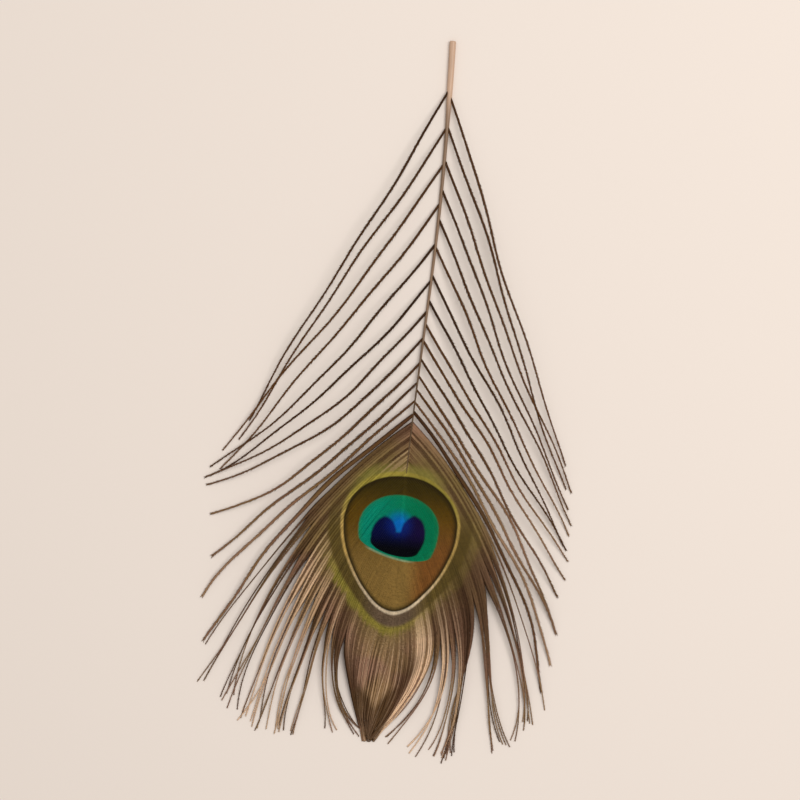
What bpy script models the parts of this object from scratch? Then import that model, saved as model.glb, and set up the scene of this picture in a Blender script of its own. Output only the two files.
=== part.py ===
# Peacock tail feather, lying on a surface with its front up.
# The shaft runs along Y: the cut butt is at +Y and the tip of the vane at -Y. Z is up.
# The path functions measure s in millimetres from the butt towards the tip, and x across.

import math

import bmesh
import bpy
import numpy as np

MM = 0.001
SHARP_ANGLE = math.radians(50.0)

SHAFT_LENGTH = 200.0        # the shaft thins out inside the eye
SHAFT_RADIUS = 1.15         # at the butt
SHAFT_TIP_RADIUS = 0.28
SHAFT_SWAY = 1.25           # slow sideways S of the shaft
SHAFT_WAVE = 215.0          # length of that S
FLAT_LENGTH = 85.0          # the shaft rests on its flat underside this far
EYE_LIFT = 4.4              # height of the shaft's underside inside the eye

EYE_START = 137.0           # the barbs stand shoulder to shoulder from here on
EYE_CENTRE = 176.0
EYE_HALF_WIDTH = 27.0
EYE_TO_QUILL = 39.0         # from the eye's centre to the edge of its closed part
EYE_TO_TIP = 37.0
EYE_THICKNESS = 0.9

# Where the loose barbs leave the shaft on each side.
LEFT_LOOSE_STARTS = (17, 30.5, 43.5, 57.5, 72, 85, 96, 105.5, 114.5, 121.5, 128, 133)
RIGHT_LOOSE_STARTS = (19, 30, 42, 52.5, 63, 73, 83, 92, 100.5, 106.5, 113, 119, 124, 128.5, 132)
LOOSE_WIDTH = 1.5
LOOSE_ARCH = 6.0            # how far a loose barb bows up between shaft and tip

LOCK_SPACING = 3.0          # along the shaft, between the locks round the eye
BRUSH_THICKNESS = 0.7
BRUSH_REACH = 0.96          # the share of their length over which the brush's barbs cling
FRINGE_WIDTH = 3.3
FRINGE_ARCH = 1.8

UNEVEN_LENGTH = 2.2         # how far tips stray along and across from a perfectly even row
UNEVEN_SPREAD = 1.3
LOCK_THICKNESS = 0.8
TIP_WIDTH = 0.7
TIP_THICKNESS = 0.5

# How the barbs lie, from the butt to the end of the shaft. Each row says where a barb leaves the
# shaft, its angle to the shaft there, where its tip is (s, then x outwards), and its angle there.
LEFT_BARBS = (
    (17, 25, 141, 60, 27),
    (40, 28, 151, 66, 32),
    (62, 30, 158, 69, 42),
    (84, 33, 162, 70, 55),
    (103, 35, 165, 70, 64),
    (115, 38, 175, 69.5, 70),
    (124, 42, 197, 66, 36),
    (129, 44, 207, 70, 32),
    (133, 47, 219, 67, 24),
    (137, 52, 236, 65, 18),
    (143, 50, 243, 56, 14),
    (150, 46, 248, 47, 11),
    (158, 42, 252, 37.5, 7),
    (166, 38, 255, 27, 2),
    (174, 31, 254.5, 17.5, -4),
    (184, 20, 252, 10, -10),
    (198, 0, 251, 4.5, -4),
)
RIGHT_BARBS = (
    (17, 24, 146, 52, 21),
    (40, 25.5, 156, 56, 26),
    (62, 28, 164, 58, 32),
    (84, 31, 172, 58.5, 36),
    (103, 34.5, 181, 58, 37),
    (115, 37.5, 192, 57, 34),
    (124, 41, 207, 56, 24),
    (129, 43, 217, 56.5, 18),
    (133, 46, 228, 55, 14),
    (137, 51, 239, 52, 8),
    (143, 49, 246, 46, 4),
    (150, 46, 250, 39, 0),
    (158, 42, 253, 31, -3),
    (166, 38, 255, 23, -7),
    (174, 31, 255, 14.5, -11),
    (184, 20, 253.5, 5.5, -13),
    (198, 0, 251, -4.5, -4),
)

# How much of each barb's length lies in the closed part of the vane and keeps to the even fan.
CLOSED_SHARE = (
    (17, 0.2),
    (134, 0.28),
    (140, 0.38),
    (150, 0.44),
    (178, 0.44),
    (190, 0.37),
    (198, 0.29),
)

# Past the eye the barbs cling together: in the middle they close to a brush with one point, and the
# barbs just outside it leave a gap. Each row is where a barb starts, and its tip's shift along the
# feather and outwards.
LEFT_CLINGING = (
    (159, 0, 0),
    (163, -2, -1.5),
    (165.5, -6, -13.7),
    (168, -5, -16),
    (174, -4.5, -9.7),
    (184, -2, -3.2),
    (198, -1, 1),
)
RIGHT_CLINGING = (
    (150, 0, 0),
    (153, 0.5, -5),
    (158, 1.5, -6),
    (165, 0.5, -7),
    (168.5, -1, -15),
    (172, -4.5, -19.8),
    (174, -5, -18.0),
    (184, -3.5, -10.1),
    (198, -1, -1),
)


def clear_scene():
    for item in list(bpy.data.objects):
        bpy.data.objects.remove(item, do_unlink=True)


def smooth_step(value):
    value = np.clip(value, 0.0, 1.0)
    return value * value * (3.0 - 2.0 * value)


def shaft_x(s):
    return SHAFT_SWAY * np.sin(2.0 * math.pi * s / SHAFT_WAVE)


def shaft_radius(s):
    along = np.clip(s / SHAFT_LENGTH, 0.0, 1.0)
    return SHAFT_RADIUS + (SHAFT_TIP_RADIUS - SHAFT_RADIUS) * along ** 0.9


def shaft_base(s):
    return EYE_LIFT * smooth_step((s - FLAT_LENGTH) / (EYE_CENTRE - FLAT_LENGTH))


def root_height(s):
    return shaft_base(s) + shaft_radius(s)


def barb_arch(start):
    inside = smooth_step((start - 120.0) / 25.0)
    uneven = 1.0 + 0.14 * math.sin(2.3 * start) * (1.0 - inside)
    return uneven * (LOOSE_ARCH + (FRINGE_ARCH - LOOSE_ARCH) * inside)


def tip_shift(side, start):
    """How far a tip strays along and outwards from an even fan: a small unevenness in two waves
    that no two neighbours share, and past the eye the way the barbs cling to each other."""
    rows = np.array(LEFT_CLINGING if side < 0 else RIGHT_CLINGING)
    longer = np.interp(start, rows[:, 0], rows[:, 1])
    wider = np.interp(start, rows[:, 0], rows[:, 2])
    free = 1.0 - smooth_step((start - 156.0) / 12.0)
    longer += math.sin(1.9 * start + side) * UNEVEN_LENGTH * free
    wider += math.sin(3.3 * start + 2.0 * side) * UNEVEN_SPREAD * free
    return longer, side * wider


def barb_points(side, start, steps):
    """Points along a barb's centre line as rows of s, x, z: a Hermite curve that leaves the shaft
    at one angle and ends at its tip at another, bent aside past the eye by the tip's shift, and
    bowed upwards and down again to the surface."""
    rows = np.array(LEFT_BARBS if side < 0 else RIGHT_BARBS)
    leave, tip_s, tip_x, arrive = (np.interp(start, rows[:, 0], rows[:, i]) for i in range(1, 5))
    root = np.array([start, shaft_x(start)])
    tip = np.array([tip_s, side * tip_x])
    chord = np.linalg.norm(tip - root)
    leave, arrive = math.radians(leave), math.radians(arrive)
    first = chord * np.array([math.cos(leave), side * math.sin(leave)])
    last = chord * np.array([math.cos(arrive), side * math.sin(arrive)])
    t = np.asarray(steps, dtype=float)[:, None]
    flat = (root * (2 * t ** 3 - 3 * t ** 2 + 1) + first * (t ** 3 - 2 * t ** 2 + t)
            + tip * (3 * t ** 2 - 2 * t ** 3) + last * (t ** 3 - t ** 2))
    edge = np.interp(start, *zip(*CLOSED_SHARE))
    beyond = np.clip((t - edge) / (1.0 - edge), 0.0, 1.0) ** 2
    flat += beyond * np.array(tip_shift(side, start))
    t = t[:, 0]
    foot = 0.5 * TIP_THICKNESS
    height = foot + (root_height(start) - foot) * (1 - t) ** 1.3
    height += barb_arch(start) * 4.0 * t * (1 - t) * (1.0 - 0.25 * t)
    return np.column_stack([flat, height])


def in_row_frame(points):
    """Turns rows of s, x, z in millimetres into X, Y, Z in metres."""
    return np.column_stack([points[:, 1], -points[:, 0], points[:, 2]]) * MM


def tube(name, rings):
    """A closed tube through rings of points, all with the same number of corners."""
    bm = bmesh.new()
    loops = [[bm.verts.new(point) for point in ring] for ring in rings]
    count = len(loops[0])
    for lower, upper in zip(loops, loops[1:]):
        for i in range(count):
            k = (i + 1) % count
            bm.faces.new((lower[i], lower[k], upper[k], upper[i]))
    bm.faces.new(list(reversed(loops[0])))
    bm.faces.new(loops[-1])
    bmesh.ops.recalc_face_normals(bm, faces=bm.faces[:])
    mesh = bpy.data.meshes.new(name)
    bm.to_mesh(mesh)
    bm.free()
    mesh.shade_smooth()
    mesh.set_sharp_from_angle(angle=SHARP_ANGLE)
    return bpy.data.objects.new(name, mesh)


def make_shaft():
    """An eight-sided tapering shaft. Its lowest side is flat and lies on the surface."""
    stations = np.array([0.0, 0.8, 25, 50, 70, 85, 100, 115, 130, 145, 160, 175, 188, 200])
    section = np.array([(-0.45, 0.0), (0.45, 0.0), (0.95, 0.5), (1.0, 1.1), (0.6, 1.75),
                        (0.0, 1.95), (-0.6, 1.75), (-1.0, 1.1), (-0.95, 0.5)])
    rings = []
    for s in stations:
        radius = shaft_radius(s) * (0.86 if s == 0.0 else 1.0)
        middle = 0.14 * SHAFT_RADIUS if s == 0.0 else 0.0
        across = shaft_x(s) + section[:, 0] * radius
        height = shaft_base(s) + middle + section[:, 1] * radius
        rings.append(in_row_frame(np.column_stack([np.full(len(section), s), across, height])))
    return tube("shaft", rings)


def make_lock(name, points, widths, thicknesses):
    """A flattened tube of diamond section along the points."""
    ahead = np.gradient(points[:, :2], axis=0)
    ahead /= np.linalg.norm(ahead, axis=1)[:, None]
    across = np.column_stack([-ahead[:, 1], ahead[:, 0]])
    rings = []
    for point, aside, width, thick in zip(points, across, widths, thicknesses):
        corners = [
            (*(point[:2] + aside * 0.5 * width), point[2]),
            (*point[:2], point[2] + 0.5 * thick),
            (*(point[:2] - aside * 0.5 * width), point[2]),
            (*point[:2], point[2] - 0.5 * thick),
        ]
        rings.append(in_row_frame(np.array(corners)))
    return tube(name, rings)


def make_loose_barb(name, side, start):
    steps = np.linspace(0.0, 1.0, 10) ** 0.95
    points = barb_points(side, start, steps)
    widths = LOOSE_WIDTH + (TIP_WIDTH - LOOSE_WIDTH) * steps ** 2
    thicknesses = LOCK_THICKNESS + (TIP_THICKNESS - LOCK_THICKNESS) * steps
    return make_lock(name, points, widths, thicknesses)


def brush_start(side):
    return 168.0 if side < 0 else 173.0


def closed_reach(side, start):
    """How far along a barb the closed eye reaches, from 0 at the shaft to 1 at the tip."""
    steps = np.linspace(0.0, 1.0, 201)
    points = barb_points(side, start, steps)
    ahead = points[:, 0] - EYE_CENTRE
    half = np.where(ahead < 0.0, EYE_TO_QUILL, EYE_TO_TIP)
    outside = (ahead / half) ** 2 + (points[:, 1] / EYE_HALF_WIDTH) ** 2 > 1.0
    outside[:12] = False
    return steps[np.argmax(outside)]


def thickened(name, bm, thickness):
    """A closed solid from a sheet, with half the thickness on each side of it."""
    bmesh.ops.recalc_face_normals(bm, faces=bm.faces[:])
    mesh = bpy.data.meshes.new(name)
    bm.to_mesh(mesh)
    bm.free()
    sheet = bpy.data.objects.new(name, mesh)
    solid = sheet.modifiers.new("Thickness", "SOLIDIFY")
    solid.thickness = thickness * MM
    solid.offset = 0.0
    return sheet


def make_eye():
    """The closed part of the vane: a sheet that follows the barbs out to the eye's outline."""
    starts = np.linspace(EYE_START, 198.0, 14)
    columns = 6
    bm = bmesh.new()
    spine = [bm.verts.new(in_row_frame(barb_points(1, s, [0.0]))[0]) for s in starts]
    shared_row = None
    for side in (-1, 1):
        grid = []
        for i, start in enumerate(starts):
            if i == len(starts) - 1 and shared_row:
                grid.append(shared_row)
                continue
            steps = np.linspace(0.0, closed_reach(side, start), columns + 1)[1:]
            points = in_row_frame(barb_points(side, start, steps))
            grid.append([spine[i]] + [bm.verts.new(point) for point in points])
        shared_row = grid[-1]
        for row, following in zip(grid, grid[1:]):
            for k in range(columns):
                corners = (row[k], row[k + 1], following[k + 1], following[k])
                bm.faces.new(corners if side > 0 else corners[::-1])
    return thickened("eye", bm, EYE_THICKNESS)


def make_brush():
    """The barbs that cling together past the eye, from inside its edge to their common point."""
    left = [(-1, start) for start in np.linspace(brush_start(-1), 198.0, 7)]
    right = [(1, start) for start in np.linspace(198.0, brush_start(1), 6)[1:]]
    bm = bmesh.new()
    grid = []
    for side, start in left + right:
        steps = np.linspace(closed_reach(side, start) - 0.1, BRUSH_REACH, 9)
        points = in_row_frame(barb_points(side, start, steps))
        grid.append([bm.verts.new(point) for point in points])
    for row, following in zip(grid, grid[1:]):
        for k in range(len(row) - 1):
            bm.faces.new((row[k], row[k + 1], following[k + 1], following[k]))
    return thickened("brush", bm, BRUSH_THICKNESS)


def make_fringe_lock(name, side, start):
    reach = closed_reach(side, start)
    steps = np.concatenate([[max(reach - 0.12, 0.5 * reach)], np.linspace(reach, 1.0, 7)[1:]])
    steps = np.insert(steps, 1, reach)
    points = barb_points(side, start, steps)
    along = (steps - steps[0]) / (1.0 - steps[0])
    widths = FRINGE_WIDTH + (TIP_WIDTH - FRINGE_WIDTH) * along ** 1.4
    thicknesses = LOCK_THICKNESS + (TIP_THICKNESS - LOCK_THICKNESS) * along
    return make_lock(name, points, widths, thicknesses)


def fringe_starts(side):
    return np.arange(EYE_START + 1.0, brush_start(side), LOCK_SPACING)


def centre_on_origin(pieces):
    """Moves all pieces together, so that the origin is under the middle of the feather."""
    points = np.array([vertex.co for piece in pieces for vertex in piece.data.vertices])
    middle = 0.5 * (points.min(axis=0) + points.max(axis=0))
    for piece in pieces:
        piece.location = (-middle[0], -middle[1], 0.0)


def feather_material():
    material = bpy.data.materials.new("feather")
    material.use_nodes = True
    shader = material.node_tree.nodes["Principled BSDF"]
    shader.inputs["Base Color"].default_value = (0.12, 0.075, 0.035, 1.0)
    shader.inputs["Roughness"].default_value = 0.6
    shader.inputs["Metallic"].default_value = 0.0
    return material


def main():
    clear_scene()
    scene = bpy.context.scene
    growth = bpy.data.collections.new("growth")
    scene.collection.children.link(growth)

    pieces = [make_eye(), make_brush()]
    for side, word in ((-1, "left"), (1, "right")):
        for i, start in enumerate(LEFT_LOOSE_STARTS if side < 0 else RIGHT_LOOSE_STARTS):
            pieces.append(make_loose_barb(f"barb_{word}_{i}", side, start))
        for i, start in enumerate(fringe_starts(side)):
            pieces.append(make_fringe_lock(f"lock_{word}_{i}", side, start))
    for piece in pieces:
        growth.objects.link(piece)
        piece.hide_render = True
        piece.display_type = "WIRE"

    feather = make_shaft()
    feather.name = "feather"
    feather.data.materials.append(feather_material())
    scene.collection.objects.link(feather)
    centre_on_origin([feather] + pieces)
    union = feather.modifiers.new("Grow together", "BOOLEAN")
    union.operation = "UNION"
    union.solver = "EXACT"
    union.operand_type = "COLLECTION"
    union.collection = growth
    union.use_self = True
    weld = feather.modifiers.new("Clean joins", "WELD")
    weld.merge_threshold = 0.00001


main()
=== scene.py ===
import math
import bpy
import numpy as np
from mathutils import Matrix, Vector


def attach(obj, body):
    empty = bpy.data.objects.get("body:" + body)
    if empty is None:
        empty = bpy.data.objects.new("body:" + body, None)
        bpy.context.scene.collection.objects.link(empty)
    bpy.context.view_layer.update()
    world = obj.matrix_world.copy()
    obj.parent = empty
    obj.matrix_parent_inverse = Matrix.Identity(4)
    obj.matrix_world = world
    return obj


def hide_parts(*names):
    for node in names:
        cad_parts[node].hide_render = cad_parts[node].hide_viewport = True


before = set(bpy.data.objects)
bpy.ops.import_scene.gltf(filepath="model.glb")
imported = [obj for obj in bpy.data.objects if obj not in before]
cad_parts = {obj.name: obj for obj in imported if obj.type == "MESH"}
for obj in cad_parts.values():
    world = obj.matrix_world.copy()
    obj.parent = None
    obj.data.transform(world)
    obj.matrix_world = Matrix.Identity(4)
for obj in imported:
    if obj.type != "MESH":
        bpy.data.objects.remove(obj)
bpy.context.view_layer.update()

# The peacock feather lies front up. Its butt is at +Y and its tip at -Y.
# Lengths along the shaft (s, from the butt) and across it (x) are in millimetres until the mesh.
butt = {"x": 6.035, "y": 128.27}
mm = 0.001
floorGap = 0.02      # millimetres between the lowest barbs and the surface
bakeSpan = 0.27      # metres that the map for the bake covers

# Where a barb leaves the shaft, its angle there, its tip (s, x outwards) and its angle at the tip.
fans = {
    -1: np.array([
        (17, 25, 141, 60, 27), (40, 28, 151, 66, 32), (62, 30, 158, 69, 42),
        (84, 33, 162, 70, 55), (103, 35, 165, 70, 64), (115, 38, 175, 69.5, 70),
        (124, 42, 197, 66, 36), (129, 44, 207, 70, 32), (133, 47, 219, 67, 24),
        (137, 52, 236, 65, 18), (143, 50, 243, 56, 14), (150, 46, 248, 47, 11),
        (158, 42, 252, 37.5, 7), (166, 38, 255, 27, 2), (174, 31, 254.5, 17.5, -4),
        (184, 20, 252, 10, -10), (198, 0, 251, 4.5, -4)]),
    1: np.array([
        (17, 24, 146, 52, 21), (40, 25.5, 156, 56, 26), (62, 28, 164, 58, 32),
        (84, 31, 172, 58.5, 36), (103, 34.5, 181, 58, 37), (115, 37.5, 192, 57, 34),
        (124, 41, 207, 56, 24), (129, 43, 217, 56.5, 18), (133, 46, 228, 55, 14),
        (137, 51, 239, 52, 8), (143, 49, 246, 46, 4), (150, 46, 250, 39, 0),
        (158, 42, 253, 31, -3), (166, 38, 255, 23, -7), (174, 31, 255, 14.5, -11),
        (184, 20, 253.5, 5.5, -13), (198, 0, 251, -4.5, -4)])}
# The shift of the tips (along, outwards) where barbs past the eye cling to their neighbours.
clinging = {
    -1: np.array([
        (159, 0, 0), (163, -2, -1.5), (165.5, -6, -13.7), (168, -5, -16), (174, -4.5, -9.7),
        (184, -2, -3.2), (198, -1, 1)]),
    1: np.array([
        (150, 0, 0), (153, 0.5, -5), (158, 1.5, -6), (165, 0.5, -7), (168.5, -1, -15),
        (172, -4.5, -19.8), (174, -5, -18), (184, -3.5, -10.1), (198, -1, -1)])}
# The share of a barb's length that lies in the closed part of the vane.
closedShare = np.array([
    (17, 0.2), (134, 0.28), (140, 0.38), (150, 0.44), (178, 0.44), (190, 0.37), (198, 0.29)])
# How the barbs settle in locks with gaps between them: where a lock starts, how far it moves
# outwards two thirds of the way through the fringe and at its tip, and its tone (below 0: any).
settling = {
    -1: np.array([
        (138, 0, 0, 0.2), (141, 0, 0, -1), (165, 0, 0, -1), (168, 0, 0, 0.15),
        (171.4, 2.2, 0, 0.12), (172, -3.6, 0, 0.5), (174, -2.8, 0, 0.5), (178, -1.3, 0, 0.5),
        (184, 0, 0, 0.5), (192, 0, 0, 0.5), (198, -0.8, 0, 0.5)]),
    1: np.array([
        (138, 0, 0, -1), (141, 1.5, 0, -1), (144, 3, 1, -1), (147, -4.8, 2.2, 0.3),
        (150, -2.2, -1, 0.25), (153, -4.6, -7.5, 0.25), (156, -3.2, -4.6, 0.12),
        (159, -1.5, -1.2, 0.3), (162, 0, 0, 0.6), (165, 0, 0, 0.35), (168, 0, 2.8, 0.7),
        (172, -2.5, 1.6, 0.3), (173, -3.2, 0.8, 0.95), (180, -2.2, 0, 0.95),
        (182, -1.4, 0, 0.5), (186, 0, 0, 0.5), (192, 0, 0, 0.5), (198, -0.8, 0, 0.5)])}


# 0 below 0, 1 above 1, and the cubic 3v^2 - 2v^3 between.
def smoothStep(value):
    value = np.clip(value, 0.0, 1.0)
    return value * value * (3.0 - 2.0 * value)


# A column of a table, read straight between the rows by the place in its first column.
def column(table, places, which):
    return np.interp(places, table[:, 0], table[:, which])


# Vectors scaled to length 1.
def unit(vectors):
    return vectors / np.maximum(np.linalg.norm(vectors, axis=-1, keepdims=True), 1e-9)


# Vectors of the plan turned by a quarter.
def turned(vectors):
    return np.stack([-vectors[..., 1], vectors[..., 0]], -1)


# The shaft. "cut" gives the butt's cut end as rows of s and share of the radius, and "slimmer"
# gives how much narrower the shaft gets from some s, over some length.
shaftForm = {
    "sway": 1.25, "swayLength": 215.0, "radius": 1.15, "thinning": 0.87, "thinPower": 0.9,
    "length": 200.0, "lift": 4.4, "liftFrom": 85.0, "liftOver": 91.0,
    "stations": 160, "corners": 24, "first": 1.0, "last": 203.0,
    "cut": np.array([(0.45, 0.05), (0.4, 0.62), (0.0, 0.74), (0.12, 0.94), (0.5, 1.0)]),
    "point": 204.0, "pointOver": 8.0, "pointSize": 0.12,
    "pinch": 0.1, "crown": 0.95, "belly": 0.82, "groove": 0.16, "grooveWidth": 0.3,
    "middle": 0.88, "sunk": 0.62, "sunkFrom": 150.0, "sunkOver": 8.0,
    "slimmer": ((0.32, 14.0, 22.0), (0.18, 105.0, 35.0))}


# The shaft's sway to the side: a slow sine.
def shaftX(s):
    return shaftForm["sway"] * np.sin(2.0 * math.pi * s / shaftForm["swayLength"])


# The shaft's radius: less by a power of the share of its length.
def shaftRadius(s):
    share = np.clip(s / shaftForm["length"], 0.0, 1.0)
    return shaftForm["radius"] - shaftForm["thinning"] * share ** shaftForm["thinPower"]


# The height of the shaft's underside: a smooth step up into the eye.
def shaftBase(s):
    return shaftForm["lift"] * smoothStep((s - shaftForm["liftFrom"]) / shaftForm["liftOver"])


# What all barbs have: how far their tips stray, and how they bow up. "drop" is how much lower the
# bow is in the eye than in the loose barbs.
barbForm = {
    "strayUntil": 156.0, "strayOver": 12.0, "strayLong": 2.2, "strayWide": 1.3,
    "bow": 6.0, "drop": 4.2, "dropFrom": 120.0, "dropOver": 25.0, "bowVaries": 0.14,
    "bowLean": 0.25, "tipHeight": 0.25, "fall": 1.3}


# Each barb is a Hermite curve from shaft to tip, plus its tip's shift times the square of the share
# beyond the closed part of the vane. Its height falls from the shaft with a power and bows up as
# 4t(1 - t). Gives s, x and height for every barb and step.
def barbPaths(side, starts, steps, locks):
    form = barbForm
    t = np.broadcast_to(steps, (len(starts), len(steps)))[:, :, None]
    leave, tipS, tipX, arrive = (column(fans[side], starts, i) for i in range(1, 5))
    root = np.stack([starts, shaftX(starts)], 1)
    tip = np.stack([tipS, side * tipX], 1)
    chord = np.linalg.norm(tip - root, axis=1)[:, None]
    leave, arrive = np.radians(leave), np.radians(arrive)
    first = chord * np.stack([np.cos(leave), side * np.sin(leave)], 1)
    last = chord * np.stack([np.cos(arrive), side * np.sin(arrive)], 1)
    flat = (root[:, None] * (2 * t ** 3 - 3 * t ** 2 + 1) + first[:, None] * (t ** 3 - 2 * t ** 2 + t)
            + tip[:, None] * (3 * t ** 2 - 2 * t ** 3) + last[:, None] * (t ** 3 - t ** 2))

    free = 1.0 - smoothStep((locks - form["strayUntil"]) / form["strayOver"])
    strayLong = form["strayLong"] * free * np.sin(1.9 * locks + side)
    strayWide = form["strayWide"] * free * np.sin(3.3 * locks + 2 * side)
    longer = column(clinging[side], starts, 1) + strayLong
    wider = column(clinging[side], starts, 2) + strayWide
    edge = column(closedShare, starts, 1)[:, None, None]
    beyond = np.clip((t - edge) / (1.0 - edge), 0.0, 1.0) ** 2
    flat = flat + beyond * np.stack([longer, side * wider], 1)[:, None]

    t = t[:, :, 0]
    inside = smoothStep((starts - form["dropFrom"]) / form["dropOver"])
    uneven = 1.0 + form["bowVaries"] * np.sin(2.3 * starts) * (1.0 - inside)
    bow = (uneven * (form["bow"] - form["drop"] * inside))[:, None]
    top = (shaftBase(starts) + shaftRadius(starts))[:, None]
    fallen = form["tipHeight"] + (top - form["tipHeight"]) * (1 - t) ** form["fall"]
    height = fallen + bow * 4.0 * t * (1 - t) * (1.0 - form["bowLean"] * t)
    return np.concatenate([flat, height[:, :, None]], 2)


# Rows of s, x, height in millimetres to the frame's metres.
def inFrame(points):
    return np.stack([butt["x"] + points[..., 1], butt["y"] - points[..., 0], points[..., 2]], -1) * mm


# Vertices and faces to a mesh object at the origin, with three numbers per vertex kept as attributes
# and a flat map of the feather seen from above for the bake.
def meshPiece(name, vertices, faces, marks):
    vertices = vertices.reshape(-1, 3)
    loops = np.concatenate([face.ravel() for face in faces])
    sizes = np.concatenate([np.full(len(face), face.shape[1]) for face in faces])
    firsts = np.concatenate([[0], np.cumsum(sizes)[:-1]])
    mesh = bpy.data.meshes.new(name)
    mesh.vertices.add(len(vertices))
    mesh.vertices.foreach_set("co", vertices.astype(np.float32).ravel())
    mesh.loops.add(len(loops))
    mesh.loops.foreach_set("vertex_index", loops.astype(np.int32))
    mesh.polygons.add(len(sizes))
    mesh.polygons.foreach_set("loop_start", firsts.astype(np.int32))
    mesh.polygons.foreach_set("use_smooth", np.full(len(sizes), True))
    mesh.update(calc_edges=True)
    for word, values in zip(("tone", "along", "under"), marks.T):
        mark = mesh.attributes.new(word, "FLOAT", "POINT")
        mark.data.foreach_set("value", values.astype(np.float32))
    flat = vertices[loops][:, :2] / bakeSpan + 0.5
    mesh.uv_layers.new(name="OFBake").data.foreach_set("uv", flat.astype(np.float32).ravel())
    piece = bpy.data.objects.new(name, mesh)
    bpy.context.scene.collection.objects.link(piece)
    return piece


# A closed strand along each path: at every station the corners (across, up), in shares of the width
# and the height, are carried along the path, and both ends are capped.
def strandGrid(paths, corners, widths, heights):
    count, stations = paths.shape[:2]
    across = turned(unit(np.gradient(paths[:, :, :2], axis=1)))
    corners = np.array(corners)
    flat = paths[:, :, None, :2] + across[:, :, None] * (corners[:, 0] * widths[:, :, None])[..., None]
    up = paths[:, :, None, 2] + corners[:, 1] * heights[:, :, None]
    vertices = np.concatenate([flat, up[..., None]], -1)
    sides = len(corners)
    index = np.arange(count * stations * sides).reshape(count, stations, sides)
    a, b = index[:, :-1], index[:, 1:]
    quads = np.stack([a, b, np.roll(b, -1, 2), np.roll(a, -1, 2)], -1).reshape(-1, 4)
    caps = np.concatenate([index[:, 0], index[:, -1, ::-1]])
    return vertices, [quads, caps]


# Tone, share along the barb and underside for the vertices of a strand grid. The tone is scaled
# from corner to corner as painted shade, darker at a strand's edges, and the last of the five corners
# is the lowest.
def strandMarks(shape, tone, steps, paintedCornerShade):
    return (np.broadcast_to(tone[:, None, None], shape) * np.array(paintedCornerShade),
            np.broadcast_to(steps[None, :, None], shape),
            np.broadcast_to(np.array([0.5, 0.0, 0.0, 0.5, 1.0]), shape))


# Barbules: thin closed slivers with three corners at their root on the barb and a point at their
# tip. The root sits at the given points, the tip lies ahead and aside by the given lengths.
def sliverGrid(roots, ahead, aside, reach, rise, breadth, lean):
    direction = ahead * np.cos(lean)[:, None] + aside * np.sin(lean)[:, None]
    wide = turned(direction) * 0.5 * breadth[:, None]
    tip = np.concatenate([roots[:, :2] + direction * reach[:, None], (roots[:, 2] + rise)[:, None]], 1)
    left = np.concatenate([roots[:, :2] + wide, roots[:, 2:]], 1)
    right = np.concatenate([roots[:, :2] - wide, roots[:, 2:]], 1)
    crest = np.concatenate([roots[:, :2], roots[:, 2:] + 0.4 * breadth[:, None]], 1)
    vertices = np.stack([left, right, crest, tip], 1)
    index = np.arange(len(roots) * 4).reshape(-1, 4)
    faces = index[:, [[0, 2, 1], [0, 1, 3], [1, 2, 3], [2, 0, 3]]].reshape(-1, 3)
    return vertices, faces


# Evenly spaced barbules on both flanks of each path, found by walking its length. The function
# reach gives their length for a barb and a share of its length.
def barbules(paths, form, reach, seed):
    rng = np.random.default_rng(seed)
    steps = np.linalg.norm(np.diff(paths, axis=1), axis=2)
    walked = np.concatenate([np.zeros((len(paths), 1)), np.cumsum(steps, 1)], 1)
    along = [np.arange(form["spacing"], length - 0.2, form["spacing"]) for length in walked[:, -1]]
    which = np.repeat(np.arange(len(paths)), [len(places) for places in along])
    along = np.concatenate(along)
    along = along + rng.uniform(-0.3, 0.3, len(along)) * form["spacing"]
    offset = walked[which]
    slot = np.clip((offset <= along[:, None]).sum(1) - 1, 0, paths.shape[1] - 2)
    low, high = offset[np.arange(len(slot)), slot], offset[np.arange(len(slot)), slot + 1]
    share = ((along - low) / np.maximum(high - low, 1e-9))[:, None]
    here, after = paths[which, slot], paths[which, slot + 1]
    roots = here + (after - here) * share
    ahead = unit((after - here)[:, :2])
    progress = along / walked[which, -1]
    flanks = []
    for flank in (-1, 1):
        length = reach(which, progress) * rng.uniform(0.75, 1.2, len(roots))
        use = length > 0.05
        count = use.sum()
        rise = form["rise"] * rng.uniform(-0.6, 1.0, count)
        breadth = form["breadth"] * rng.uniform(0.8, 1.2, count)
        lean = np.radians(form["lean"] + rng.uniform(-9, 9, count))
        vertices, faces = sliverGrid(
            roots[use], ahead[use], flank * turned(ahead)[use], length[use], rise, breadth, lean)
        flanks.append((vertices.reshape(-1, 3), faces, which[use], progress[use]))
    vertices = np.concatenate([part[0] for part in flanks])
    faces = np.concatenate([flanks[0][1], flanks[1][1] + len(flanks[0][0])])
    owner = np.concatenate([np.repeat(part[2], 4) for part in flanks])
    shares = np.concatenate([np.repeat(part[3], 4) for part in flanks])
    return vertices, faces, owner, shares


# Joins parts of (vertices, list of face arrays, tone, share along the barb, underside) into one set.
def joined(parts):
    vertices, faces, marks, shift = [], [], [], 0
    for points, faceSets, tone, along, under in parts:
        points = points.reshape(-1, 3)
        vertices.append(points)
        faces += [face + shift for face in faceSets]
        marks.append(np.stack([tone.ravel(), along.ravel(), under.ravel()], 1))
        shift += len(points)
    return np.concatenate(vertices), faces, np.concatenate(marks)


# Strands and their barbules as one piece, kept just above the surface.
def barbPiece(name, strands, marks, paths, form, reach, hairTone, seed):
    vertices, faces = strands
    hairs, hairFaces, owner, shares = barbules(paths, form, reach, seed)
    vertices, faces, marks = joined([
        (vertices, faces, *marks), (hairs, [hairFaces], hairTone[owner], shares, 0 * shares)])
    vertices[:, 2] = np.maximum(vertices[:, 2], floorGap)
    return meshPiece(name, inFrame(vertices), faces, marks)


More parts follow.
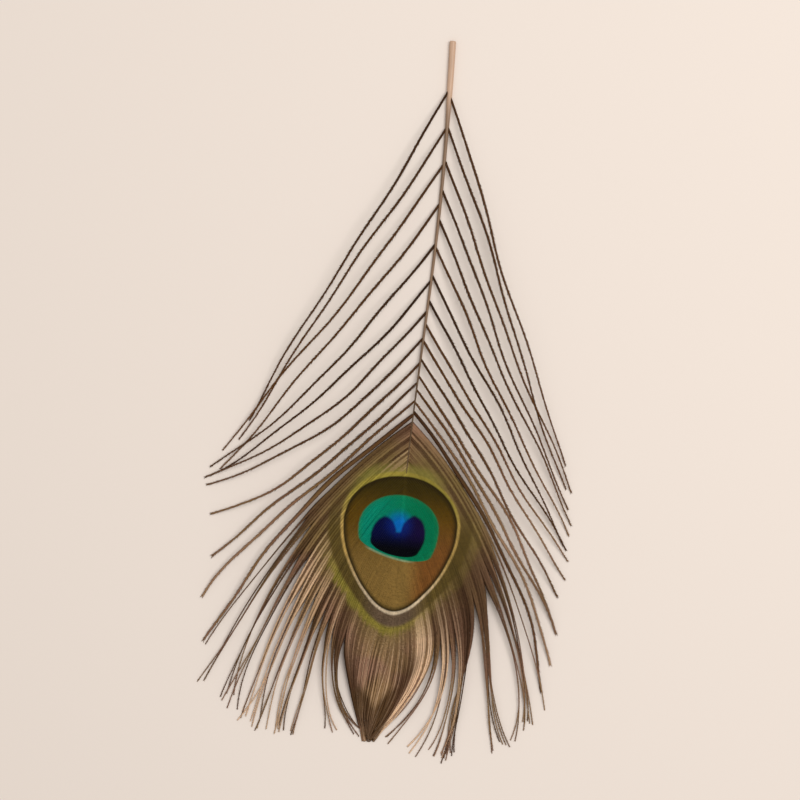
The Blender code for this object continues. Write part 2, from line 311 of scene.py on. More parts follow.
# A socket that shader maths is written with: each operator adds its Math node.
class Wire:
    def __init__(self, tree, socket):
        self.tree, self.socket = tree, socket

    def math(self, operation, other=None, flip=False):
        values = [self] if other is None else [other, self] if flip else [self, other]
        return node(self.tree, "ShaderNodeMath", {"operation": operation}, values)

    def __add__(self, other): return self.math("ADD", other)
    def __radd__(self, other): return self.math("ADD", other)
    def __sub__(self, other): return self.math("SUBTRACT", other)
    def __rsub__(self, other): return self.math("SUBTRACT", other, True)
    def __mul__(self, other): return self.math("MULTIPLY", other)
    def __rmul__(self, other): return self.math("MULTIPLY", other)
    def __truediv__(self, other): return self.math("DIVIDE", other)
    def __rtruediv__(self, other): return self.math("DIVIDE", other, True)
    def __pow__(self, other): return self.math("POWER", other)
    def __abs__(self): return self.math("ABSOLUTE")


# Any node: its type, its settings, then its sockets' values or links, by name or in order.
def node(tree, kind, settings=None, sockets=(), output=0):
    new = tree.nodes.new(kind)
    for name, value in (settings or {}).items():
        setattr(new, name, value)
    entries = sockets.items() if isinstance(sockets, dict) else enumerate(sockets)
    for key, value in entries:
        if isinstance(value, Wire):
            tree.links.new(value.socket, new.inputs[key])
        else:
            new.inputs[key].default_value = value
    return Wire(tree, new.outputs[output])


# sRGB shares 0..255 to a linear colour.
def tint(red, green, blue):
    share = np.array([red, green, blue]) / 255.0
    linear = np.where(share <= 0.04045, share / 12.92, ((share + 0.055) / 1.055) ** 2.4)
    return (*(float(value) for value in linear), 1.0)


# The first colour where the factor is 0, and the second where it is 1.
def mixed(factor, first, second, blend="MIX"):
    tree = next(value.tree for value in (factor, first, second) if isinstance(value, Wire))
    return node(tree, "ShaderNodeMix", {"data_type": "RGBA", "blend_type": blend},
                {0: factor, 6: first, 7: second}, 2)


# A soft step: 0 below the edge, 1 above it, over the given softness.
def stepped(value, edge, soft):
    return node(value.tree, "ShaderNodeMapRange", {"interpolation_type": "SMOOTHSTEP"},
                {0: value, 1: edge - soft, 2: edge + soft, 3: 0.0, 4: 1.0})


# A colour times a grey.
def shaded(colour, swing):
    grey = node(colour.tree, "ShaderNodeCombineColor", None, [swing, swing, swing])
    return mixed(1.0, colour, grey, "MULTIPLY")


# Noise of a given scale at each place.
def noise(tree, place, scale, detail):
    return node(tree, "ShaderNodeTexNoise", None, {"Vector": place, "Scale": scale, "Detail": detail})


# A material with its node tree and its shader.
def newMaterial(name):
    material = bpy.data.materials.new(name)
    material.use_nodes = True
    return material, material.node_tree, material.node_tree.nodes["Principled BSDF"]


# The eye. Pairs are soft steps: where the edge is, and how soft. "...To" are distances outside the
# golden ring, "...From" lengths past the eye's centre or places across.
eye = {
    "x": -1.5, "s": 172.0, "halfWidth": 20.5, "toQuill": 17.6, "toTip": 31.1, "pointed": 0.35,
    "quillFrom": (-4.0, 9.0), "rightFrom": (4.0, 10.0), "ragged": 3.4,
    "bronzeTo": (-0.6, 0.3), "rimTo": (-1.5, 1.1), "darkTo": (-0.4, 0.35),
    "ringWidth": 0.6, "ringQuillWider": 0.6, "ringTipWider": 0.15, "ringSoft": 0.45,
    "bandTo": (5.0, 0.9), "edgeTo": (8.2, 1.4), "quillEdgeTo": (3.0, 1.8),
    "ring": tint(190, 156, 88), "ringQuill": tint(158, 142, 60), "ringTip": tint(206, 186, 156),
    "ringDark": tint(46, 35, 10), "band": tint(96, 78, 36), "bandMiddle": tint(104, 84, 64),
    "edge": tint(142, 128, 54), "quillEdge": tint(140, 130, 60),
    "bronze": tint(100, 72, 14), "bronzeTip": tint(138, 108, 54), "bronzeRed": tint(128, 82, 36),
    "bronzeQuill": tint(60, 48, 8)}
# The disc and the heart in it. The low curve, s = lowS + slope x - bend x^2, cuts both.
disc = {
    "x": -2.0, "s": 173.4, "half": 14.2, "top": 11.8, "bottom": 18.0,
    "lowS": 184.3, "lowSlope": 0.17, "lowBend": 0.012, "line": (0.35, 0.3), "lineAt": -0.15,
    "heartS": 175.6, "heartHalf": 9.5, "heartTop": 6.6, "heartBottom": 11.5, "tilt": 0.1,
    "lobeX": 5.1, "lobeHalf": 4.4, "lobeFrom": (-0.9, 0.6), "sideways": 0.16, "sidewaysFrom": 177.0,
    "notchS": 172.2, "glowTo": (3.8, 2.8), "lobeGlowTo": (4.0, 2.6),
    # The rim colour is a painted highlight along the disc's edge.
    "teal": tint(4, 126, 84), "tealLeft": tint(8, 146, 118), "rim": tint(34, 140, 86),
    "lineColour": tint(140, 168, 130), "notch": tint(8, 112, 190), "lobe": tint(16, 44, 130),
    "heart": tint(8, 14, 66), "heartLow": tint(3, 4, 10), "heartRight": tint(26, 12, 60)}
# The vane round the eye. Steps as above, by tone, by place (s, x) or by distance from the ring.
vane = {
    "lighter": (0.3, 0.3), "paleFrom": (0.78, 0.25), "oliveTo": (12.0, 9.0), "oliveShare": 0.75,
    "duskRight": (12.0, 5.0), "duskFrom": (178.0, 9.0), "duskEnd": (214.0, 8.0), "duskShare": 0.6,
    "pointX": -4.5, "pointS": 250.0, "pointSlope": 0.42, "pointFrom": (218.0, 9.0),
    "pointFlank": (0.66, 0.26), "pointEdge": (1.05, 0.12), "pointShare": 0.75,
    "looseFrom": (155.0, 30.0), "looseTone": (0.35, 0.2), "loosePale": (0.95, 0.3),
    "olive": tint(122, 103, 54), "mauve": tint(146, 114, 78), "pink": tint(147, 108, 88),
    "dark": tint(60, 32, 8), "pale": tint(214, 180, 146), "point": tint(62, 36, 8),
    "dusk": tint(84, 58, 38), "looseDark": tint(32, 14, 3), "looseBrown": tint(104, 66, 33),
    "back": tint(104, 80, 58), "backFrom": (0.62, 0.12), "backShare": 0.78}


# Where a point lies on the feather. E = (x (1 + pointed d^2) / halfWidth)^2 + d^2 is 1 on the golden
# ring, where d is the share of the way from the eye's centre to its end, and the distance outside
# the ring is r (1 - 1 / sqrt E).
def featherPlan(tree, place):
    split = node(tree, "ShaderNodeSeparateXYZ", None, [place])
    x = split * (1.0 / mm) - butt["x"]
    s = butt["y"] - Wire(tree, split.socket.node.outputs[1]) * (1.0 / mm)
    tone, along, under = (
        node(tree, "ShaderNodeAttribute", {"attribute_name": word}, output="Fac")
        for word in ("tone", "along", "under"))
    tone = tone + stepped(along, 0.75, 0.25) * 0.1
    fine, broad = noise(tree, place, 900.0, 3.0), noise(tree, place, 70.0, 2.0)
    ahead = s - eye["s"]
    tipward = stepped(ahead, 0.0, 0.4)
    d = ahead / (eye["toQuill"] + (eye["toTip"] - eye["toQuill"]) * tipward)
    across = (x - eye["x"]) * (1.0 + d * d * eye["pointed"] * tipward)
    root = ((across / eye["halfWidth"]) ** 2.0 + d * d).math("SQRT")
    radius = ((x - eye["x"]) ** 2.0 + ahead * ahead).math("SQRT")
    outside = radius * (1.0 - 1.0 / root.math("MAXIMUM", 0.05)) + (broad - 0.5)
    return {"x": x, "s": s, "tone": tone, "along": along, "under": under, "fine": fine,
            "broad": broad, "ahead": ahead, "tipward": tipward, "outside": outside}


# The barbs round the eye: dark, mauve or pink, and pale by their tone, olive near the eye, dusky on
# its right, and dark at the brush's point, by the share of the way from its middle to its flank.
def vaneColours(at, loose):
    x, s, tone = at["x"], at["s"], at["tone"]
    lighter = stepped(tone, *vane["lighter"])
    flush = mixed(stepped(at["broad"], 0.5, 0.12) * 0.8, vane["mauve"], vane["pink"])
    colour = mixed(lighter, vane["dark"], flush)
    colour = mixed(stepped(tone, *vane["paleFrom"]), colour, vane["pale"])
    nearEye = 1.0 - stepped(at["outside"], *vane["oliveTo"])
    colour = mixed(nearEye * vane["oliveShare"] * lighter, colour, vane["olive"])
    dusk = stepped(x, *vane["duskRight"]) * stepped(s, *vane["duskFrom"])
    dusk = dusk * (1.0 - stepped(s, *vane["duskEnd"]))
    colour = mixed(dusk * vane["duskShare"], colour, vane["dusk"])
    half = ((vane["pointS"] - s) * vane["pointSlope"] + 1.5).math("MAXIMUM", 1.0)
    flank = abs(x - vane["pointX"]) / half
    spread = flank + (s - 229.0).math("MAXIMUM", 0.0) * 0.08
    point = stepped(s, *vane["pointFrom"]) * stepped(spread, *vane["pointFlank"])
    point = point * (1.0 - stepped(flank, *vane["pointEdge"]))
    colour = mixed(point * vane["pointShare"], colour, vane["point"])
    if loose:
        plain = mixed(tone * 0.8 + at["along"] * 0.4, vane["looseDark"], vane["looseBrown"])
        plain = mixed(stepped(tone, *vane["loosePale"]) * 0.5, plain, vane["pale"])
        fringe = stepped(s, *vane["looseFrom"]) * stepped(tone, *vane["looseTone"]) * 0.6
        colour = mixed(fringe, plain, colour)
    return colour


# From the vane inwards: the ragged yellow-green edge, the brown band, the golden ring and the dark
# line inside it. On the quill's side the edge is narrow and the band is missing.
def ringColours(at, vaneColour):
    x, ahead, outside, broad = at["x"], at["ahead"], at["outside"], at["broad"]
    ragged = outside + (at["tone"] - 0.45) * eye["ragged"] + (broad - 0.5) * 3.0
    quillSide = 1.0 - stepped(ahead, *eye["quillFrom"])
    rightSide = stepped(x, *eye["rightFrom"])
    middle = 1.0 - stepped(abs(x - eye["x"]), 9.0, 5.0)
    band = mixed(middle * at["tipward"], eye["band"], eye["bandMiddle"])
    leftEdge = stepped(ahead, 15.0, 6.0) * (1.0 - rightSide)
    edge = mixed(leftEdge + rightSide * 0.2, vaneColour, eye["edge"])
    colour = mixed(stepped(ragged, *eye["edgeTo"]), edge, vaneColour)
    colour = mixed(stepped(outside + (broad - 0.5) * 2.0, *eye["bandTo"]), band, colour)
    quillTop = 1.0 - stepped(abs(x + 4.0), 15.0, 5.0)
    quillEdge = mixed(quillTop * 0.85, vaneColour, eye["quillEdge"])
    quillColour = mixed(stepped(ragged, *eye["quillEdgeTo"]), quillEdge, vaneColour)
    colour = mixed(quillSide, colour, quillColour)
    ring = mixed(stepped(ahead, 20.0, 10.0), eye["ring"], eye["ringTip"])
    ring = mixed(quillSide, ring, eye["ringQuill"])
    width = (eye["ringWidth"] + quillSide * (1.0 - rightSide) * eye["ringQuillWider"]
             + stepped(ahead, 22.0, 8.0) * eye["ringTipWider"])
    colour = mixed(stepped(outside - width, 0.0, eye["ringSoft"]), ring, colour)
    return mixed(stepped(outside, *eye["darkTo"]), eye["ringDark"], colour)


# The bronze inside the ring: paler to the tip, redder on the right, dark to the quill and the rim.
def bronzeColours(at):
    x, ahead = at["x"], at["ahead"]
    colour = mixed(stepped(ahead, 8.0, 10.0), eye["bronze"], eye["bronzeTip"])
    colour = mixed(stepped(x, 5.0, 4.0) * stepped(ahead, 2.0, 8.0), colour, eye["bronzeRed"])
    colour = mixed(1.0 - stepped(ahead, -8.0, 7.0), colour, eye["bronzeQuill"])
    return mixed(1.0 - stepped(at["outside"], *eye["rimTo"]), eye["ringDark"], colour)


# The disc is an ellipse with a longer lower half, and the heart in it two elliptic lobes over a
# superellipse. The low curve cuts both: a high power of the way to it adds to their sums. Gives the
# colour, the disc's mask and the mask of the pale line along the curve.
def discColours(at):
    x, s, fine = at["x"], at["s"], at["fine"]
    fromX = x - disc["x"]
    past = s - disc["lowS"] - fromX * disc["lowSlope"] + fromX * fromX * disc["lowBend"]
    lower = stepped(s, disc["s"], 0.4)
    overS = (s - disc["s"]) / (disc["top"] + (disc["bottom"] - disc["top"]) * lower)
    overX = fromX / disc["half"]
    oval = overS * overS + overX * overX + ((past + 3.0) / 3.1).math("MAXIMUM", 0.0) ** 5.0
    oval = oval + (fine - 0.5) * 0.06
    colour = mixed(1.0 - stepped(x, -6.0, 9.0), disc["teal"], disc["tealLeft"])
    # Paler green toward the disc's edge, at half strength: a painted highlight along the rim.
    colour = mixed(stepped(oval, 0.86, 0.14) * 0.5, colour, disc["rim"])
    inDisc = 1.0 - stepped(oval, 1.0, 0.06)
    line = (1.0 - stepped(abs(past - disc["lineAt"]), *disc["line"])) * (1.0 - stepped(x, 3.0, 2.5))
    line = line * stepped(x, -12.5, 2.0)

    heartS = s - disc["heartS"] + fromX * disc["tilt"]
    lobeX = (abs(fromX) - disc["lobeX"]) / disc["lobeHalf"]
    lobeS = heartS / disc["heartTop"]
    lobes = 1.0 - stepped(abs(lobeX) ** 1.6 + lobeS * lobeS + (fine - 0.5) * 0.1, 1.0, 0.2)
    shift = (s - disc["sidewaysFrom"]).math("MAXIMUM", 0.0) * disc["sideways"]
    heart = abs(heartS / disc["heartBottom"]) ** 2.4 + abs((fromX + shift) / disc["heartHalf"]) ** 2.4
    heart = heart + ((past + 4.6) / 3.9).math("MAXIMUM", 0.0) ** 4.0 + (fine - 0.5) * 0.08
    below = stepped(heartS, *disc["lobeFrom"])
    inHeart = lobes * (1.0 - below) + (1.0 - stepped(heart, 1.0, 0.1)) * below
    notch = (fromX ** 2.0 + (s - disc["notchS"]) ** 2.0).math("SQRT")
    colour = mixed(1.0 - stepped(notch, *disc["glowTo"]), colour, disc["notch"])
    navy = mixed(stepped(x, 1.0, 5.0), disc["heart"], disc["heartRight"])
    navy = mixed((1.0 - stepped(notch, *disc["lobeGlowTo"])) * 0.7, navy, disc["lobe"])
    navy = mixed(stepped(s, 177.5, 3.5), navy, disc["heartLow"])
    return mixed(inHeart, colour, navy), inDisc, line


# The whole feather: the vane, the ring round it, bronze inside, disc and heart. The underside keeps
# little of the pattern, and tone makes each barb lighter or darker than the next, less so in the eye.
# Tone also carries painted shade: darker strand edges and dark barbs that stand for the gaps between
# strands.
def featherColours(tree, place, loose):
    at = featherPlan(tree, place)
    inEye = 1.0 - stepped(at["outside"], *eye["bronzeTo"])
    colour = mixed(inEye, ringColours(at, vaneColours(at, loose)), bronzeColours(at))
    discColour, inDisc, line = discColours(at)
    colour = mixed(inDisc, colour, discColour)
    colour = mixed(line * 0.75, colour, disc["lineColour"])
    under = stepped(at["under"], *vane["backFrom"])
    colour = mixed(under * vane["backShare"], colour, vane["back"])
    swing = (at["tone"] - 0.45) * (0.5 - inEye * 0.3 - inDisc * 0.12) + (at["fine"] - 0.5) * 0.5 + 1.0
    return shaded(colour, swing), inEye, inDisc, at


# Satin barbs, smoother and a little metallic in the eye.
barbFinish = {"rough": 0.7, "roughEye": 0.12, "roughDisc": 0.14, "metalEye": 0.15, "metalDisc": 0.3,
              "specular": 0.1}


def barbMaterial(name, loose):
    material, tree, shader = newMaterial(name)
    place = node(tree, "ShaderNodeTexCoord", output="Object")
    colour, inEye, inDisc, at = featherColours(tree, place, loose)
    rough = barbFinish["rough"] - inEye * barbFinish["roughEye"] - inDisc * barbFinish["roughDisc"]
    rough = rough + (at["fine"] - 0.5) * 0.12
    metal = inEye * barbFinish["metalEye"] + inDisc * barbFinish["metalDisc"]
    tree.links.new(colour.socket, shader.inputs["Base Color"])
    tree.links.new(rough.socket, shader.inputs["Roughness"])
    tree.links.new(metal.socket, shader.inputs["Metallic"])
    shader.inputs["Specular IOR Level"].default_value = barbFinish["specular"]
    return material


# The shaft's keratin: tan at the bare butt, greyish brown past the first barbs, with fine streaks.
# Over the vane it takes the vane's own colours.
shaftLook = {
    "butt": tint(190, 156, 130), "middle": tint(128, 101, 77), "eye": tint(84, 62, 36),
    "middleFrom": (24.0, 9.0), "eyeFrom": (112.0, 22.0), "vaneFrom": (155.0, 1.5),
    "streakScale": 2600.0, "streakStretch": 0.03, "patchScale": 120.0, "rough": 0.38,
    "bump": 0.25, "bumpDepth": 0.0002, "specular": 0.3}


def shaftMaterial():
    look = shaftLook
    material, tree, shader = newMaterial("shaftKeratin")
    place = node(tree, "ShaderNodeTexCoord", output="Object")
    vaneColour, _, _, at = featherColours(tree, place, False)
    stretched = node(tree, "ShaderNodeMapping", None,
                     {"Vector": place, "Scale": (1.0, look["streakStretch"], 1.0)})
    streak = noise(tree, stretched, look["streakScale"], 3.0)
    patch = noise(tree, place, look["patchScale"], 2.0)
    colour = mixed(stepped(at["s"], *look["middleFrom"]), look["butt"], look["middle"])
    colour = mixed(stepped(at["s"], *look["eyeFrom"]), colour, look["eye"])
    colour = shaded(colour, 1.0 + (streak - 0.5) * 0.5 + (patch - 0.5) * 0.25)
    colour = mixed(stepped(at["s"], *look["vaneFrom"]), colour, vaneColour)
    rough = look["rough"] + (patch - 0.5) * 0.2
    bump = node(tree, "ShaderNodeBump", None,
                {"Strength": look["bump"], "Distance": look["bumpDepth"], "Height": streak})
    tree.links.new(colour.socket, shader.inputs["Base Color"])
    tree.links.new(rough.socket, shader.inputs["Roughness"])
    tree.links.new(bump.socket, shader.inputs["Normal"])
    shader.inputs["Specular IOR Level"].default_value = look["specular"]
    return material


# The shaft: at each station a closed outline, round on top and flat below with a shallow groove,
# scaled by the shaft's radius. The butt is cut, with a rounded lip and its pith set in. Under the
# eye the outline's top is sunk between the barbs.
def makeShaft():
    form = shaftForm
    s = np.concatenate([form["cut"][:, 0], np.linspace(form["first"], form["last"], form["stations"])])
    size = np.concatenate([form["cut"][:, 1], np.ones(form["stations"])])[:, None]
    pointed = np.clip((form["point"] - s) / form["pointOver"], form["pointSize"], 1.0)
    radius = (shaftRadius(s) * pointed)[:, None]
    slim = 1.0 - sum(less * smoothStep((s - start) / over) for less, start, over in form["slimmer"])
    sunk = form["sunk"] * smoothStep((s - form["sunkFrom"]) / form["sunkOver"])

    angle = np.linspace(0.0, 2.0 * math.pi, form["corners"], endpoint=False)
    across = np.cos(angle) * (1.0 - form["pinch"] * np.clip(-np.sin(angle), 0, 1))
    groove = form["groove"] * np.exp(-((angle - 1.5 * math.pi) / form["grooveWidth"]) ** 2)
    up = np.maximum(form["crown"] * np.sin(angle), -form["belly"]) + form["belly"] + groove
    up = up[None] * np.where(up[None] > 0.5, 1.0 - sunk[:, None], 1.0)
    width = across[None] * radius * size * slim[:, None]
    height = shaftBase(s)[:, None] + (form["middle"] + (up - form["middle"]) * size) * radius
    rings = np.stack([np.broadcast_to(s[:, None], width.shape), shaftX(s)[:, None] + width, height], -1)

    index = np.arange(width.size).reshape(width.shape)
    a, b = index[:-1], index[1:]
    quads = np.stack([a, np.roll(a, -1, 1), np.roll(b, -1, 1), b], -1).reshape(-1, 4)
    caps = [index[0][None, ::-1], index[-1][None]]
    marks = np.full((width.size, 3), 0.4)
    shaft = meshPiece("shaft", inFrame(rings), [quads] + caps, marks)
    shaft.data.materials.append(shaftMaterial())
    return shaft


# The loose barbs leave the shaft where the CAD's do: a shaft of a barb, thin and tapering, with a
# dense row of barbules on each flank. Those nearer the eye are fuller, and the last join the vane.
looseForm = {
    "starts": {
        -1: np.array([17, 30.5, 43.5, 57.5, 72, 85, 96, 105.5, 114.5, 121.5, 128, 133]),
        1: np.array([19, 30, 42, 52.5, 63, 73, 83, 92, 100.5, 106.5, 113, 119, 124, 128.5, 132])},
    "stations": 60, "above": 0.05, "width": 0.85, "tipWidth": 0.3, "taper": 1.6, "flat": 0.6,
    "wander": 0.9, "fuller": 0.9, "fullFrom": 96.0, "fullOver": 34.0,
    "wider": 0.9, "joinFrom": 128.5, "joinOver": 6.0,
    "corners": [(0.5, 0.0), (0.28, 0.45), (-0.28, 0.45), (-0.5, 0.0), (0.0, -0.4)],
    # Painted shade: each loose strand darker at its flanks and underneath, lightest on top.
    "paintedCornerShade": [0.5, 1.0, 0.9, 0.3, 0.6], "tone": (0.1, 0.6), "fullTone": 0.22,
    "joinTone": {-1: 0.15, 1: 0.0},
    "spacing": 0.2, "reach": 1.75, "breadth": 0.24, "lean": 22.0, "rise": 0.18}


# Sines of the share along the barb make it waver and swell, and its width falls with a power.
def makeLoose(name, side, seed):
    rng = np.random.default_rng(seed)
    form = looseForm
    steps = np.linspace(0.0, 1.0, form["stations"])
    starts = form["starts"][side]
    paths = barbPaths(side, starts, steps, starts)
    paths[..., 2] += form["above"]
    phase = rng.uniform(0.0, 2.0 * math.pi, (2, len(starts), 1))
    waves = np.sin(steps[None] * 7.0 + phase[0]) + 0.5 * np.sin(steps[None] * 17.0 + phase[1])
    paths[..., 1] += form["wander"] * waves * np.sin(math.pi * np.clip(steps, 0, 0.5))[None] ** 1.5

    full = form["fuller"] * smoothStep((starts - form["fullFrom"]) / form["fullOver"])
    joining = smoothStep((starts - form["joinFrom"]) / form["joinOver"])
    swell = 0.25 * np.sin(steps[None] * 21.0 + phase[1]) + rng.normal(0.0, 0.07, len(starts))[:, None]
    taper = form["width"] + (form["tipWidth"] - form["width"]) * steps[None] ** form["taper"]
    widths = taper * (0.8 + 0.25 * (0.75 + swell)) * (1.0 + full[:, None] * (steps[None] ** 0.7 - 0.2))
    nearRoot = 1.0 - smoothStep((steps[None] - 0.3) / 0.4)
    widths = widths * (1.0 + form["wider"] * joining[:, None] * nearRoot)
    strands = strandGrid(paths, form["corners"], widths, widths * form["flat"])
    tone = rng.uniform(*form["tone"], len(starts)) + form["fullTone"] * full
    tone = tone + form["joinTone"][side] * joining
    marks = strandMarks(strands[0].shape[:3], tone, steps, form["paintedCornerShade"])

    def reach(which, progress):
        size = form["reach"] * (1.0 + full[which] * 0.6 * progress ** 0.5)
        return size * (1.0 - 0.5 * progress ** 1.5) * (0.7 + 0.3 * smoothStep(progress / 0.25))

    return barbPiece(name, strands, marks, paths, form, reach, tone, seed + 1)


# The eye and its fringe: barbs about a millimetre apart along the shaft. In the closed part each is
# a ridged ribbon wide enough to reach under its neighbours, and past the eye it narrows to a strand.
# Barbs share the tip of their lock, and those that start past "brush" stay closed as the brush.
vaneForm = {
    "first": 136.2, "last": 197.8, "count": 66, "jitter": 0.08, "firstStep": -0.004, "stations": 84,
    "lockFirst": 138.0, "lockSpacing": 3.0, "gather": 0.93, "brush": {-1: 168.0, 1: 173.0},
    "shorter": 5.0, "wander": 0.5, "hook": 1.5, "ripple": 0.35, "lift": (-0.1, 0.25),
    "overlap": 0.72, "narrowest": 0.34, "widest": 2.4, "darkWidth": 0.92, "lightWidth": 1.15,
    "strand": 0.62, "tipWidth": 0.2, "thickness": 0.22,
    "corners": [(0.5, -0.5), (0.12, 0.5), (-0.12, 0.5), (-0.5, -0.5), (0.0, -1.2)],
    # Painted shade: each ribbon darker at its edges, so dark lines show where barbs overlap.
    "paintedCornerShade": [0.3, 1.0, 1.0, 0.3, 1.0], "tone": (-0.05, 0.25),
    "spacing": 0.36, "reach": 1.24, "breadth": 0.3, "lean": 34.0, "rise": 0.12, "above": 0.06}


# Past the closed part, b of the way to the tip, a barb is drawn to its lock by 1 - (1 - b)^2, moved
# aside by the settling table (6.75 b^2 (1 - b) is 1 at two thirds), and ruffled by sines and powers.
def vanePaths(side, rng):
    form = vaneForm
    count, brush = form["count"], form["brush"][side]
    starts = np.linspace(form["first"], form["last"], count)
    starts[1:-1] += rng.uniform(-form["jitter"], form["jitter"], count - 2)
    nearest = np.round((starts - form["lockFirst"]) / form["lockSpacing"])
    locks = form["lockFirst"] + form["lockSpacing"] * nearest
    locks = np.where(starts < brush, np.minimum(locks, brush - 1.0), starts)
    steps = np.linspace(form["firstStep"], 1.0, form["stations"])
    own, shared = (barbPaths(side, places, steps, locks) for places in (starts, locks))
    edge = column(closedShare, starts, 1)[:, None]
    beyond = np.clip((steps[None] - edge) / (1.0 - edge), 0.0, 1.0)
    pull = form["gather"] * (1.0 - (1.0 - beyond) ** 2)
    paths = own + (shared - own) * pull[..., None]
    middleShift, tipShift = (column(settling[side], locks, i)[:, None] for i in (1, 2))
    paths[..., 1] += side * (middleShift * 6.75 * beyond ** 2 * (1.0 - beyond) + tipShift * beyond ** 2)

    inBrush = smoothStep(starts - brush - 3.0)[:, None]
    shorter = rng.uniform(0.0, form["shorter"], count)[:, None]
    wander = rng.normal(0.0, form["wander"], count)[:, None] * (1.0 - 0.75 * inBrush)
    hook = (rng.normal(0.0, form["hook"], count) * (locks < brush - 2.0))[:, None]
    ripple = form["ripple"] * np.sin(beyond * 9.0 + rng.uniform(0, 6.3, count)[:, None])
    lift = rng.uniform(*form["lift"], count)[:, None]
    paths[..., 0] -= shorter * beyond ** 3
    paths[..., 1] += wander * beyond ** 2 + ripple * beyond
    paths[..., 1] += hook * np.clip((beyond - 0.55) / 0.45, 0, 1) ** 2
    paths[..., 2] += lift * 4 * beyond * (1 - beyond)
    return starts, locks, steps, edge, beyond, inBrush, paths


# A ribbon is as wide as the gap to its neighbours in the closed part, and opens over a short way to
# a strand that thins with a power. The topmost ribbons are wider and part sooner.
def makeVane(name, side, seed):
    rng = np.random.default_rng(seed)
    form = vaneForm
    starts, locks, steps, edge, beyond, inBrush, paths = vanePaths(side, rng)
    count = len(starts)
    ahead = unit(np.gradient(paths[..., :2], axis=1))
    gap = np.gradient(paths[..., :2], axis=0)
    spread = np.abs(gap[..., 0] * ahead[..., 1] - gap[..., 1] * ahead[..., 0])
    # Every third barb or so is darker and narrower, tucked under its neighbours: painted shade for the
    # dark lines between strands.
    darker = (np.arange(count) + rng.integers(0, 2, count)) % 3 == 0
    topmost = 1.0 - smoothStep((starts - 137.0) / 5.0)[:, None]
    wider = 1.0 + 0.3 * inBrush * beyond + 0.35 * topmost
    closed = np.clip(spread * 2 * form["overlap"] * wider, form["narrowest"], form["widest"])
    closed = closed * np.where(darker, form["darkWidth"], form["lightWidth"])[:, None]
    strand = form["strand"] + (form["tipWidth"] - form["strand"]) * beyond ** 1.2
    parting = edge * (0.6 + 0.4 * smoothStep((starts - 136.0) / 6.0))[:, None]
    past = np.clip((steps[None] - parting) / (1.0 - parting), 0.0, 1.0)
    opening = smoothStep((past - rng.uniform(-0.02, 0.16, count)[:, None]) / 0.22) * (1.0 - inBrush)
    widths = closed * (1.0 - opening) + strand * opening
    heights = form["thickness"] * (1.0 - opening) + 0.5 * strand * opening
    strands = strandGrid(paths, form["corners"], widths, heights)

    group = np.sin(locks * 12.9898) * 43758.5453      # a steady random number for each lock
    table = settling[side]
    wanted = table[np.abs(locks[:, None] - table[None, :, 0]).argmin(1), 3]
    tone = np.where(wanted < 0, 0.35 + 0.35 * (group - np.floor(group)), wanted)
    tone = tone + rng.uniform(*form["tone"], count)
    tone = np.where(darker, np.where(starts < form["brush"][side], 0.3, 0.55) * tone, tone)
    tone = tone * (0.65 + 0.35 * smoothStep((starts - 137.0) / 12.0))
    marks = strandMarks(strands[0].shape[:3], tone, steps, form["paintedCornerShade"])

    def reach(which, progress):
        past = np.clip((progress - edge[which, 0]) / (1.0 - edge[which, 0]), 0.0, 1.0)
        free = 1.0 - 0.6 * smoothStep((past - 0.05) / 0.5)
        return form["reach"] * free * smoothStep(progress / 0.03)

    above = paths + np.array([0.0, 0.0, form["above"]])
    return barbPiece(name, strands, marks, above, form, reach, tone * 0.9 + 0.08, seed + 1)


looseLook = barbMaterial("looseBarbs", True)
vaneLook = barbMaterial("vaneBarbs", False)
pieces = [makeShaft()]
print("shaft made")
for side, word in ((-1, "Left"), (1, "Right")):
    loose = makeLoose("looseBarbs" + word, side, 11 + side)
    loose.data.materials.append(looseLook)
    vanePiece = makeVane("eyeVane" + word, side, 31 + side)
    vanePiece.data.materials.append(vaneLook)
    pieces += [loose, vanePiece]
    print("barbs made:", word, len(loose.data.polygons), len(vanePiece.data.polygons))
for piece in pieces:
    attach(piece, "root")
    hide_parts("feather")

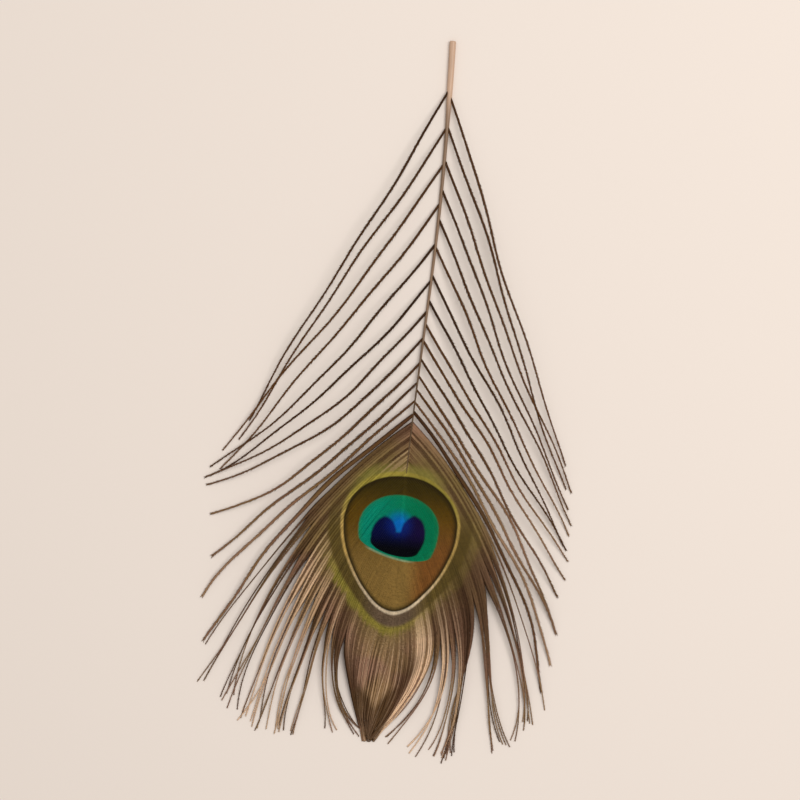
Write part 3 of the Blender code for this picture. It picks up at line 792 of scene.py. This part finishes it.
# Floor, light and camera. The camera looks straight down, turned by "lean" degrees.
stage = {
    "floor": tint(230, 217, 206), "floorSize": 3.0, "floorRough": 0.9, "floorSpecular": 0.1,
    "sky": (1.0, 0.99, 0.98, 1.0), "skyStrength": 0.55, "lampPower": 9.0, "lampSize": 0.9,
    "lampPlace": (0.4, 0.3, 1.05), "cameraHeight": 1.0, "lens": 127.0, "sensor": 36.0, "lean": 5.7}


def makeStage():
    collection = bpy.context.scene.collection
    half = stage["floorSize"] / 2
    mesh = bpy.data.meshes.new("floor")
    corners = [(-half, -half, 0), (half, -half, 0), (half, half, 0), (-half, half, 0)]
    mesh.from_pydata(corners, [], [(0, 1, 2, 3)])
    floor = bpy.data.objects.new("floor", mesh)
    collection.objects.link(floor)
    material, _, shader = newMaterial("floorPaper")
    shader.inputs["Base Color"].default_value = stage["floor"]
    shader.inputs["Roughness"].default_value = stage["floorRough"]
    shader.inputs["Specular IOR Level"].default_value = stage["floorSpecular"]
    mesh.materials.append(material)

    world = bpy.data.worlds.new("softSky")
    bpy.context.scene.world = world
    world.use_nodes = True
    sky = world.node_tree.nodes["Background"]
    sky.inputs["Color"].default_value = stage["sky"]
    sky.inputs["Strength"].default_value = stage["skyStrength"]

    lamp = bpy.data.lights.new("softLamp", "AREA")
    lamp.shape = "DISK"
    lamp.size = stage["lampSize"]
    lamp.energy = stage["lampPower"]
    lampObject = bpy.data.objects.new("softLamp", lamp)
    lampObject.location = stage["lampPlace"]
    lampObject.rotation_euler = (-Vector(stage["lampPlace"])).to_track_quat("-Z", "Y").to_euler()
    collection.objects.link(lampObject)

    camera = bpy.data.cameras.new("camera")
    camera.lens = stage["lens"]
    camera.sensor_width = stage["sensor"]
    camera.clip_end = 20.0
    cameraObject = bpy.data.objects.new("camera", camera)
    cameraObject.location = (0.0, 0.0, stage["cameraHeight"])
    cameraObject.rotation_euler = (0.0, 0.0, math.radians(stage["lean"]))
    collection.objects.link(cameraObject)
    bpy.context.scene.camera = cameraObject
    bpy.context.scene.view_settings.view_transform = "Standard"


makeStage()
print("stage made")
